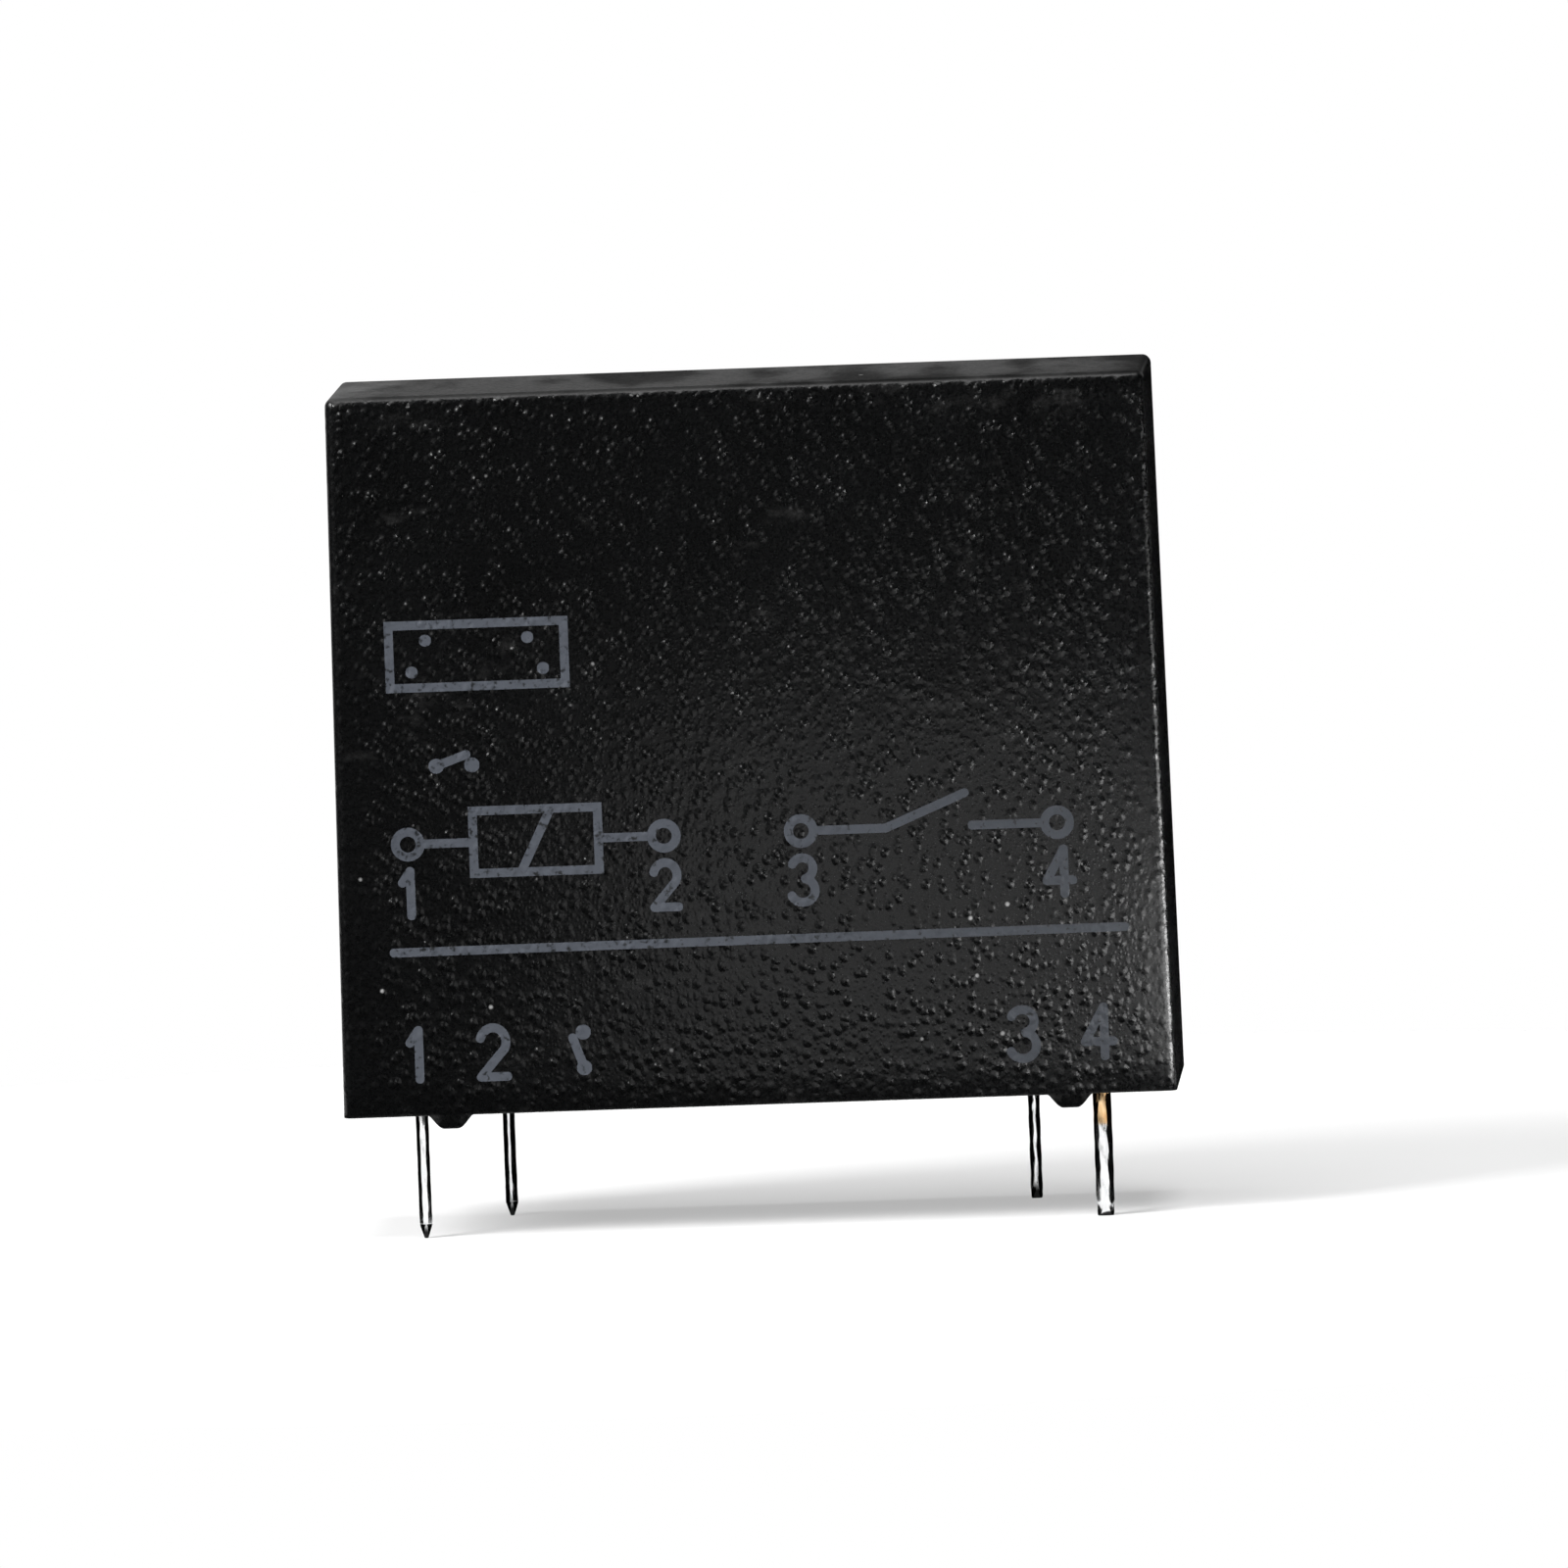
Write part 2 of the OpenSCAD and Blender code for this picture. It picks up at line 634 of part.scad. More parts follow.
// Moving contact: shank through the leaf, flat tail behind and domed head in front
module moving_contact() color(silver) {
    turned_contact(leaf_x) {
        translate([0, -tail_t]) square([tail_d / 2, tail_t]);
        square([shank_d / 2, leaf_t]);
        translate([0, leaf_t]) intersection() {
            square([contact_d / 2, head_h]);
            translate([0, head_h - dome_r]) circle(dome_r);
        }
    }
}

// Fixed contact: its head is as high as the closed contact needs
module fixed_contact() color(silver) {
    turned_contact(blade_x) polygon([
        [0, -fixed_head], [contact_d / 2, -fixed_head], [contact_d / 2, 0], [shank_d / 2, 0],
        [shank_d / 2, fixed_t], [tail_d / 2, fixed_t], [tail_d / 2, fixed_t + tail_t],
        [0, fixed_t + tail_t]]);
}

// Terminal of the moving contact: a flag for the leaf with its pin in the rear row
module moving_terminal() color(tin) {
    flag_y = -leaf_rivet_y - rivet_head_d / 2 - leaf_edge;
    flag_end = rear * row_y + blade_pin_w / 2;
    difference() {
        union() {
            translate([inner_x, rear * row_y, 0]) blade_pin(moving_t);
            translate([inner_x, (flag_y + flag_end) / 2, floor_z])
                block(moving_t, flag_end - flag_y, flag_h);
        }
        at_leaf_rivets() along_x(leaf_face - seam, leaf_face + moving_t + seam, rivet_d + 2 * seat_fit);
    }
}

// Terminal of the fixed contact: an upright blade with its pin in the front row
module fixed_terminal() color(copper) {
    foot_y = front * row_y - blade_pin_w / 2;
    blade_foot_h = 2;
    difference() {
        union() {
            translate([outer_x, front * row_y, 0]) blade_pin(fixed_t);
            translate([outer_x, (foot_y + blade_w / 2) / 2, floor_z])
                block(fixed_t, blade_w / 2 - foot_y, blade_foot_h);
            translate([outer_x, 0, floor_z]) block(fixed_t, blade_w, leaf_top - floor_z);
        }
        contact_hole(blade_x, blade_x + fixed_t);
    }
}

// Rivets that clamp the leaf on the moving terminal's flag
module leaf_rivets() color(steel) {
    at_leaf_rivets() rivet(leaf_x, leaf_face + moving_t, rivet_head, rivet_head);
}

module coil_pin_front() color(tin) coil_pin(front_pin);
module coil_pin_rear() color(tin) coil_pin(rear_pin);
module coil_lead_front() color(copper) coil_lead(front_pin);
module coil_lead_rear() color(copper) coil_lead(rear_pin);

cover();
base();
sealing_resin();
bobbin();
winding();
core();
yoke();
armature();
armature_spring();
spring_rivets();
card();
moving_spring();
moving_contact();
fixed_contact();
moving_terminal();
fixed_terminal();
leaf_rivets();
coil_pin_front();
coil_pin_rear();
coil_lead_front();
coil_lead_rear();
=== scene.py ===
# Slim power relay for a circuit board: its grained case, print, pins and inner parts, in a plain studio.
import math
from collections import namedtuple

import bpy
from mathutils import Matrix, Vector


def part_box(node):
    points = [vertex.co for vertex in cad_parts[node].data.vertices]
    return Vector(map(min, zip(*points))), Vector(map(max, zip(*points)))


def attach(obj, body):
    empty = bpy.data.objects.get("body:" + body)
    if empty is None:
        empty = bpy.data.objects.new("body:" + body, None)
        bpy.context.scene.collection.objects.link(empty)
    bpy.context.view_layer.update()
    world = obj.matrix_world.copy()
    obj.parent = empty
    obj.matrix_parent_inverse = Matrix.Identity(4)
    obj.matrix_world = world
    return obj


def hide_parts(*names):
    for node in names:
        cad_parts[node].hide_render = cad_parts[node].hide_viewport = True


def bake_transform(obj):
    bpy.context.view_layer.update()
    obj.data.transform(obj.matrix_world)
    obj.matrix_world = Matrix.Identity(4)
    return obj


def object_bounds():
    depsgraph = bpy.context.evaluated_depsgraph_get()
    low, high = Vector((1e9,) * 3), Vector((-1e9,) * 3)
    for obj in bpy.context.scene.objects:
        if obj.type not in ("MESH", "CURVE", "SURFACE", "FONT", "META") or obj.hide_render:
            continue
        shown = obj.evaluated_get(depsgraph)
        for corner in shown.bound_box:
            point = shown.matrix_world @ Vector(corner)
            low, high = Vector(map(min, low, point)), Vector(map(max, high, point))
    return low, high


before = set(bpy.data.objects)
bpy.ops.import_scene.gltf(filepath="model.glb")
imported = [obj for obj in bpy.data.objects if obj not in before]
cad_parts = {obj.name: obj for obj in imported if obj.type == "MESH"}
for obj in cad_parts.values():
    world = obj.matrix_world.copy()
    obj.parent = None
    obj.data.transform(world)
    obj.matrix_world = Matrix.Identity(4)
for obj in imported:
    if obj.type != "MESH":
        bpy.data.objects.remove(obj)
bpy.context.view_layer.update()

MM = 0.001


def in_mm(corners):
    """Corners of a box, from metres to millimetres."""
    return [tuple(c / MM for c in corner) for corner in corners]


# Case sizes in millimetres, as in the part's source
HALF_L, HALF_W, TOP_Z = in_mm(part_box("cover"))[1]
RIM_Z = 0.45
LEAN = 0.25
EDGE_R = 0.3
DRAFT = LEAN / (TOP_Z - RIM_Z - EDGE_R)
WALL = 0.7
ROOF = 0.8
CAVITY_R = 0.15
RIM_ROUND = 0.04
DISH = 0.03
FOOT_X = 10.4
FOOT_W = 1.5
FOOT_FLARE = 0.7
FOOT_POWER = 1.3

# Pins on the board's grid, and the underside, in millimetres
GRID = 2.54
ROW_Y = 1.5 * GRID
OUTER_X, INNER_X = 4.5 * GRID, 3.5 * GRID
Pin = namedtuple("Pin", "x y half_x half_y")
PINS = {
    "coil_pin_front": Pin(-OUTER_X, -ROW_Y, 0.2, 0.2),
    "coil_pin_rear": Pin(-INNER_X, ROW_Y, 0.2, 0.2),
    "moving_terminal": Pin(INNER_X, ROW_Y, 0.175, 0.25),
    "fixed_terminal": Pin(OUTER_X, -ROW_Y, 0.275, 0.25),
}
RESIN_LOW, RESIN_HIGH = (corner[2] for corner in in_mm(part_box("sealing_resin")))
FLOOR_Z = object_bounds()[0].z / MM
DIP_Z = -0.65
TIP_L = 0.45
# Height of the painted shade at the fixed terminal's tip; the other pins have it over their taper, TIP_L.
SHADED_TIP_L = 0.09

# Photograph's framing, for an image of 1600 by 1600 pixels
PHOTO_PIXELS = 1600
PIXELS_PER_MM = 30.29
CAMERA_AZIMUTH = 2.3
CAMERA_ELEVATION = 4.2
CAMERA_ROLL = -2.15
CAMERA_TARGET = (1.0, 0.0, 10.84)
CAMERA_DISTANCE = 1000


def smooth(u):
    """Smooth step from 0 to 1."""
    u = min(1.0, max(0.0, u))
    return u * u * (3 - 2 * u)


# Materials
class Nodes:
    """Short calls for the nodes that the surfaces and the world here need."""

    def __init__(self, tree, place):
        self.nodes = tree.nodes
        self.links = tree.links
        self.place = self.nodes.new("ShaderNodeTexCoord").outputs[place]

    def feed(self, socket, value):
        """Links an output to a socket, or sets the socket to a plain value."""
        if isinstance(value, bpy.types.NodeSocket):
            self.links.new(value, socket)
        else:
            socket.default_value = value

    def stretch(self, scale):
        """The surface's place, scaled differently along each axis."""
        node = self.nodes.new("ShaderNodeMapping")
        node.inputs["Scale"].default_value = scale
        self.links.new(self.place, node.inputs["Vector"])
        return node.outputs["Vector"]

    def noise(self, scale, detail=2.0, roughness=0.5, place=None):
        """Noise whose grains are about 1 / scale metres across."""
        node = self.nodes.new("ShaderNodeTexNoise")
        node.inputs["Scale"].default_value = scale
        node.inputs["Detail"].default_value = detail
        node.inputs["Roughness"].default_value = roughness
        self.links.new(place or self.place, node.inputs["Vector"])
        return node.outputs["Fac"]

    def cells(self, scale, output="Distance", place=None):
        """Distance to the nearest of many scattered points, or the colour of its cell."""
        node = self.nodes.new("ShaderNodeTexVoronoi")
        node.inputs["Scale"].default_value = scale
        self.links.new(place or self.place, node.inputs["Vector"])
        return node.outputs[output]

    def ramp(self, value, low, high, out_low=0.0, out_high=1.0, course="SMOOTHSTEP"):
        """Value mapped from low..high to out_low..out_high, smoothly unless told otherwise."""
        node = self.nodes.new("ShaderNodeMapRange")
        node.interpolation_type = course
        limits = {"From Min": low, "From Max": high, "To Min": out_low, "To Max": out_high}
        for key, number in limits.items():
            node.inputs[key].default_value = number
        self.links.new(value, node.inputs["Value"])
        return node.outputs["Result"]

    def spread(self, noise, out_low=0.0, out_high=1.0):
        """Noise mapped from its usual range to out_low..out_high."""
        return self.ramp(noise, 0.3, 0.7, out_low, out_high)

    def sums(self, operation, a, b):
        """One arithmetic step on two values."""
        node = self.nodes.new("ShaderNodeMath")
        node.operation = operation
        self.feed(node.inputs[0], a)
        self.feed(node.inputs[1], b)
        return node.outputs["Value"]

    def mix(self, share, a, b):
        """Colour between a and b."""
        node = self.nodes.new("ShaderNodeMix")
        node.data_type = "RGBA"
        self.feed(node.inputs["Factor"], share)
        self.feed(node.inputs["A"], a)
        self.feed(node.inputs["B"], b)
        return node.outputs["Result"]

    def axis(self, name):
        """One coordinate of the surface's place."""
        node = self.nodes.new("ShaderNodeSeparateXYZ")
        self.links.new(self.place, node.inputs["Vector"])
        return node.outputs[name]

    def seen(self):
        """1 for what the camera sees, also through other surfaces, and 0 for other light."""
        paths = self.nodes.new("ShaderNodeLightPath").outputs
        return self.sums("MAXIMUM", paths["Is Camera Ray"], paths["Is Transmission Ray"])

    def mirrored(self):
        """1 for what shows in glossy reflections."""
        return self.nodes.new("ShaderNodeLightPath").outputs["Is Glossy Ray"]


class Shader(Nodes):
    """A node material round one principled surface."""

    def __init__(self, name):
        self.material = bpy.data.materials.new(name)
        self.material.use_nodes = True
        super().__init__(self.material.node_tree, "Object")
        self.bsdf = self.nodes["Principled BSDF"]

    def facing(self, name):
        """How far the surface faces along one axis."""
        split = self.nodes.new("ShaderNodeSeparateXYZ")
        normal = self.nodes.new("ShaderNodeNewGeometry").outputs["Normal"]
        self.links.new(normal, split.inputs["Vector"])
        return split.outputs[name]

    def attribute(self, name):
        """A value stored on the mesh."""
        node = self.nodes.new("ShaderNodeAttribute")
        node.attribute_name = name
        return node.outputs["Fac"]

    def bump(self, height, depth):
        """Surface relief that is depth metres high."""
        node = self.nodes.new("ShaderNodeBump")
        node.inputs["Distance"].default_value = depth
        self.links.new(height, node.inputs["Height"])
        return node.outputs["Normal"]

    def finish(self, **sockets):
        """Sets or links the surface's sockets, named with underscores, and returns the material."""
        for key, value in sockets.items():
            self.feed(self.bsdf.inputs[key.replace("_", " ")], value)
        return self.material


def grey(level, blue=0.0):
    """A neutral colour, a little bluer or warmer."""
    return (level * (1 - blue), level, level * (1 + blue), 1.0)


# Heights of relief, in metres
GRAIN_DEPTH = 0.000052
INKED_DEPTH = GRAIN_DEPTH * 0.6
MOULD_DEPTH = 0.000012
RESIN_DEPTH = 0.00006
ROLLED_DEPTH = 0.000006
TIN_DEPTH = 0.000008


def grain(s):
    """Height of the moulded grain: uneven rounded beads with smaller ones between them."""
    drawn = s.stretch((1.0, 1.0, 0.8))
    beads = s.ramp(s.cells(3100, place=drawn), 0.6, 0.0)
    small = s.ramp(s.cells(7400, place=drawn), 0.6, 0.0)
    uneven = s.ramp(s.noise(1500, 2.0, 0.5, drawn), 0.3, 0.65, 0.6, 1.0)
    return s.sums("MULTIPLY", s.sums("ADD", beads, s.sums("MULTIPLY", small, 0.2)), uneven)


def case_plastic():
    """Black plastic with the grain of a spark-eroded mould, a duller roof whose colour is lighter in
    blotches and at its left end as dust with painted sheen, and some dust.
    """
    s = Shader("case_plastic")
    relief = grain(s)
    fine = s.noise(9000, 2.0, 0.6)
    edge = s.attribute("edge")
    roof = s.ramp(s.facing("Z"), 0.5, 0.9)
    patch = s.ramp(s.noise(330, 3.0, 0.45, s.stretch((1.0, 0.3, 1.0))), 0.36, 0.60)
    ragged = s.sums("ADD", s.axis("X"), s.spread(s.noise(500), -0.0012, 0.0012))
    # The roof's left end is painted paler: painted sheen.
    pale = s.ramp(ragged, -0.0112, -0.0140)
    smear = s.ramp(s.noise(700, 4.0, 0.7, s.stretch((0.5, 1.0, 1.0))), 0.60, 0.75)
    speck = s.ramp(s.cells(620), 0.065, 0.02)
    chosen = s.ramp(s.cells(620, "Color"), 0.70, 0.74)
    dust = s.sums("MULTIPLY", speck, chosen)
    black = s.mix(s.noise(260, 3.0, 0.6), grey(0.0012, 0.05), grey(0.0035, 0.06))
    worn = s.mix(smear, black, grey(0.012))
    # Dust with painted sheen: the roof's colour is lighter than the front's, in blotches and most at its
    # left end, standing in for reflected light.
    roof_dust_and_sheen = s.mix(pale, s.mix(patch, grey(0.006), grey(0.015)), grey(0.05))
    colour = s.mix(dust, s.mix(roof, worn, roof_dust_and_sheen), grey(0.30))
    hazy = s.sums("MULTIPLY", roof, s.ramp(patch, 0.0, 1.0, 0.47, 0.35))
    rough = s.sums("ADD", s.spread(fine, 0.23, 0.35), hazy)
    dull = s.sums("MULTIPLY", roof, s.ramp(patch, 0.0, 1.0, 0.23, 0.17))
    normal = s.bump(s.sums("MULTIPLY", relief, s.ramp(edge, 0.0, 1.0, 1.0, 0.35)), GRAIN_DEPTH)
    return s.finish(Base_Color=colour, Roughness=rough, Normal=normal,
                    Specular_IOR_Level=s.sums("SUBTRACT", 0.25, dull))


def marking_ink():
    """Grey-blue print that follows the grain of the case and is broken by it here and there."""
    s = Shader("marking_ink")
    relief = grain(s)
    mottle = s.noise(5200, 3.0, 0.55)
    thin = s.ramp(mottle, 0.45, 0.30)
    faded = s.ramp(s.axis("X"), -0.008, 0.014, 0.0, 0.6)
    tone = s.mix(s.noise(700, 3.0, 0.6), (0.050, 0.057, 0.070, 1), (0.078, 0.086, 0.104, 1))
    colour = s.mix(s.sums("MAXIMUM", thin, faded), tone, grey(0.012, 0.1))
    return s.finish(Base_Color=colour, Roughness=s.spread(mottle, 0.42, 0.6),
                    Normal=s.bump(relief, INKED_DEPTH), Specular_IOR_Level=0.3)


def moulded(name, dark, light, roughness):
    """Plain moulded plastic with a faint flow pattern and a fine grain."""
    s = Shader(name)
    flow = s.noise(180, 4.0, 0.6, s.stretch((1.0, 1.0, 0.3)))
    fine = s.noise(3500, 3.0, 0.5)
    colour = s.mix(s.spread(flow), dark, light)
    rough = s.spread(fine, roughness - 0.08, roughness + 0.08)
    return s.finish(Base_Color=colour, Roughness=rough, Normal=s.bump(fine, MOULD_DEPTH))


def cast_resin():
    """Cast sealing resin: glossy, with slow waves and a few small bubbles."""
    s = Shader("cast_resin")
    waves = s.noise(320, 2.0, 0.5)
    bubble = s.ramp(s.cells(900), 0.16, 0.05)
    colour = s.mix(s.noise(450, 3.0, 0.6), grey(0.010), grey(0.024))
    relief = s.sums("SUBTRACT", waves, s.sums("MULTIPLY", bubble, 0.4))
    return s.finish(Base_Color=colour, Roughness=s.spread(waves, 0.16, 0.30),
                    Normal=s.bump(relief, RESIN_DEPTH))


def sheet_metal(name, dark, light, roughness, along=(1.0, 1.0, 0.04)):
    """Rolled or drawn metal with fine lines along its run and slow stains."""
    s = Shader(name)
    rolled = s.noise(9000, 2.0, 0.5, s.stretch(along))
    stain = s.noise(350, 4.0, 0.6)
    colour = s.mix(s.spread(stain), dark, light)
    stained = s.spread(stain, roughness + 0.04, roughness)
    rough = s.sums("ADD", s.spread(rolled, -0.06, 0.06), stained)
    return s.finish(Base_Color=colour, Metallic=1.0, Roughness=rough, Normal=s.bump(rolled, ROLLED_DEPTH))


def dipped_tin(name, shade_h, bare_z=None):
    """Uneven dipped tin with painted shade, near-black over a given height above the tip, over copper that
    is bare above bare_z.
    """
    s = Shader(name)
    runs = s.noise(6500, 2.0, 0.5, s.stretch((1.0, 1.0, 0.25)))
    height = s.sums("ADD", s.axis("Z"), s.spread(s.noise(2400, 2.0), -0.00006, 0.00006))
    # Painted shade: the tin's colour turns near-black towards the tip.
    tip_shade = s.ramp(height, (FLOOR_Z + shade_h * 1.5) * MM, (FLOOR_Z + shade_h * 0.5) * MM)
    bright = s.mix(s.spread(runs), grey(0.70, 0.01), grey(0.88, 0.005))
    colour = s.mix(tip_shade, bright, grey(0.02))
    if bare_z is not None:
        bare = s.ramp(height, (bare_z - 0.08) * MM, (bare_z + 0.08) * MM)
        copper = s.mix(s.spread(runs), (0.58, 0.34, 0.15, 1), (0.86, 0.62, 0.36, 1))
        colour = s.mix(bare, colour, copper)
    return s.finish(Base_Color=colour, Metallic=1.0, Roughness=s.spread(runs, 0.08, 0.18),
                    Normal=s.bump(runs, TIN_DEPTH))


def enamelled_wire():
    """Copper wire under clear amber enamel."""
    s = Shader("enamelled_wire")
    turns = s.noise(2500, 3.0, 0.6, s.stretch((0.2, 0.2, 1.0)))
    colour = s.mix(s.spread(turns), (0.36, 0.11, 0.035, 1), (0.62, 0.24, 0.08, 1))
    return s.finish(Base_Color=colour, Metallic=0.85, Roughness=s.spread(turns, 0.22, 0.38),
                    Coat_Weight=0.5, Coat_Roughness=0.12)


CASE = case_plastic()
INK = marking_ink()
RESIN = cast_resin()
BASE = moulded("base_plastic", grey(0.030, 0.03), grey(0.050, 0.03), 0.5)
CREAM = moulded("bobbin_plastic", (0.55, 0.50, 0.38, 1), (0.66, 0.62, 0.50, 1), 0.45)
IRON = sheet_metal("soft_iron", grey(0.42, 0.02), grey(0.58, 0.02), 0.30)
BRONZE = sheet_metal("spring_bronze", (0.52, 0.31, 0.13, 1), (0.70, 0.47, 0.22, 1), 0.26)
STEEL = sheet_metal("rivet_metal", grey(0.46), grey(0.60), 0.28, along=(0.3, 1.0, 1.0))
SILVER = sheet_metal("contact_silver", (0.80, 0.79, 0.75, 1), (0.90, 0.89, 0.86, 1), 0.24,
                     along=(0.2, 1.0, 1.0))
TIN = dipped_tin("bright_tin", TIP_L)
PART_TIN = dipped_tin("part_tinned", SHADED_TIP_L, bare_z=DIP_Z)
DRAWN = sheet_metal("tinned_pin", grey(0.55, 0.01), grey(0.72, 0.01), 0.24)
COPPER = sheet_metal("terminal_copper", (0.46, 0.24, 0.09, 1), (0.78, 0.50, 0.24, 1), 0.24)
WIRE = enamelled_wire()


# Pieces
def piece(name, points, faces, material, body="case", sharp=35):
    """A mesh in millimetres that rides on a body, smooth but for edges sharper than the given degrees."""
    mesh = bpy.data.meshes.new(name)
    mesh.from_pydata([Vector(p) * MM for p in points], [], faces)
    mesh.validate()
    mesh.polygons.foreach_set("use_smooth", [True] * len(mesh.polygons))
    mesh.set_sharp_from_angle(angle=math.radians(sharp))
    mesh.materials.append(material)
    obj = bpy.data.objects.new(name, mesh)
    bpy.context.scene.collection.objects.link(obj)
    if body:
        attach(obj, body)
    return obj


def loft(rings):
    """Points and faces of a skin over rings of equally many points, capped at both ends."""
    count = len(rings[0])
    points = [p for ring in rings for p in ring]
    faces = []
    for i in range(len(rings) - 1):
        for j in range(count):
            k = (j + 1) % count
            faces.append((i * count + j, i * count + k, (i + 1) * count + k, (i + 1) * count + j))
    last = (len(rings) - 1) * count
    faces.append(tuple(range(count - 1, -1, -1)))
    faces.append(tuple(last + j for j in range(count)))
    return points, faces


# Case: one skin from the inner roof down the cavity, round the rim with its feet, and up to the outer roof
CORNER_STEPS, END_STEPS = 8, 20
CAVITY_STEPS, WALL_STEPS, ROOF_EDGE_STEPS = 6, 24, 10
LEAST_R = 0.02


def foot_drop(x):
    """Depth of the rim's stand-off feet at x."""
    reach = (1 - abs(abs(x) - FOOT_X) / (FOOT_W / 2)) / FOOT_FLARE
    return RIM_Z * smooth(max(0.0, reach) ** (1 / FOOT_POWER))


def sink(t, z):
    """Depth of a wall's shallow sink, at a share t of its half length and at height z."""
    half_h = (TOP_Z - RIM_Z) / 2
    up = (z - RIM_Z - half_h) / half_h
    return DISH * (1 - t * t) * (1 - up * up)


def long_places(end):
    """Sample places along a long side that ends at -end and end, closer together across the feet."""
    plain, reach, fine = 18, 12.0, 14
    places = {round(reach * k / plain, 4) for k in range(-plain, plain + 1)}
    for side in (-1, 1):
        places |= {round(side * FOOT_X + FOOT_W / 2 * k / fine, 4) for k in range(-fine, fine + 1)}
    return [-end] + sorted(places) + [end]


def case_ring(z, inset, corner, foot=False, lift=0.0):
    """Rounded rectangle round the case at height z, set in from its rim size, with or without feet."""
    l, w = HALF_L - inset, HALF_W - inset
    arc = [math.radians(90 * k / CORNER_STEPS) for k in range(1, CORNER_STEPS)]
    rim_xs = long_places(l - corner)
    rim_ys = [(w - corner) * k / END_STEPS for k in range(-END_STEPS, END_STEPS + 1)]

    def dish(t):
        return sink(t, z) if inset < WALL / 2 else 0.0

    def fall(x):
        return z - (foot_drop(x) if foot else 0.0) + lift

    ring = [(x, dish(x / l) - w, fall(x)) for x in rim_xs]
    ring += [(l - corner + corner * math.sin(a), corner - w - corner * math.cos(a), z + lift) for a in arc]
    ring += [(l - dish(y / w), y, z + lift) for y in rim_ys]
    ring += [(l - corner + corner * math.cos(a), w - corner + corner * math.sin(a), z + lift) for a in arc]
    ring += [(x, w - dish(x / l), fall(x)) for x in reversed(rim_xs)]
    ring += [(corner - l - corner * math.sin(a), w - corner + corner * math.cos(a), z + lift) for a in arc]
    ring += [(dish(y / w) - l, y, z + lift) for y in reversed(rim_ys)]
    ring += [(corner - l - corner * math.cos(a), corner - w - corner * math.sin(a), z + lift) for a in arc]
    return ring


def case_skin():
    """Rings of the whole case, and how much of an edge each ring is."""
    rings, edges = [], []

    def add(ring, edge):
        rings.append(ring)
        edges.append(edge)

    cavity_top = TOP_Z - ROOF
    for a in (90, 60, 30):
        t = math.radians(a)
        z = cavity_top - CAVITY_R * (1 - math.sin(t))
        inset = WALL + DRAFT * (cavity_top - RIM_Z) + CAVITY_R * (1 - math.cos(t))
        add(case_ring(z, inset, max(LEAST_R, CAVITY_R * math.cos(t))), 0)
    for k in range(CAVITY_STEPS, 0, -1):
        z = RIM_Z + (cavity_top - CAVITY_R - RIM_Z) * k / CAVITY_STEPS
        add(case_ring(z, WALL + DRAFT * (z - RIM_Z), CAVITY_R), 0)
    add(case_ring(RIM_Z, WALL, CAVITY_R, True), 0.3)
    for a in (0, 30, 60, 90):
        t = math.radians(a)
        inset, lift = RIM_ROUND * (1 - math.sin(t)), RIM_ROUND * (1 - math.cos(t))
        add(case_ring(RIM_Z, inset, EDGE_R, True, lift), 0.6)
    wall_low, wall_high = RIM_Z + RIM_ROUND * 3, TOP_Z - EDGE_R
    for k in range(1, WALL_STEPS + 1):
        z = wall_low + (wall_high - wall_low) * k / WALL_STEPS
        add(case_ring(z, DRAFT * (z - RIM_Z), EDGE_R), 0)
    for k in range(1, ROOF_EDGE_STEPS + 1):
        t = math.radians(90 * k / ROOF_EDGE_STEPS)
        z = TOP_Z - EDGE_R * (1 - math.sin(t))
        inset = LEAN + EDGE_R * (1 - math.cos(t))
        edge = 1 - abs(2 * k / ROOF_EDGE_STEPS - 1)
        add(case_ring(z, inset, max(LEAST_R, EDGE_R * math.cos(t))), edge)
    return rings, edges


def make_case():
    """The moulded case with its edge values for the material."""
    rings, ring_edges = case_skin()
    points, faces = loft(rings)
    case = piece("case_shell", points, faces, CASE, sharp=50)
    values = []
    for ring, edge in zip(rings, ring_edges):
        for x, y, z in ring:
            near_x = (abs(x) - HALF_L + LEAN + EDGE_R) / EDGE_R
            near_y = (abs(y) - HALF_W + LEAN + EDGE_R) / EDGE_R
            corner = smooth(min(near_x, near_y) * 2) if z > RIM_Z else 0.0
            values.append(max(edge, corner))
    case.data.attributes.new("edge", "FLOAT", "POINT").data.foreach_set("value", values)
    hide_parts("cover")


make_case()


# Underside: the cast resin creeps a little down the walls and the pins, in millimetres
RESIN_FIT = 0.005
RESIN_WAVE = 0.015
WALL_CREEP, WALL_REACH = 0.11, 0.22
PIN_CREEP, PIN_REACH = 0.10, 0.14


def resin_level(x, y, half_l, half_w):
    """Height of the resin's lower face."""
    to_wall = min(half_l - abs(x), half_w - abs(y))
    level = RESIN_LOW - WALL_CREEP * math.exp(-to_wall / WALL_REACH)
    for pin in PINS.values():
        to_pin = max(0.0, math.hypot(x - pin.x, y - pin.y) - pin.half_y)
        level -= PIN_CREEP * math.exp(-to_pin / PIN_REACH)
    return level + RESIN_WAVE * math.sin(1.1 * x + 0.7) * math.sin(1.7 * y)


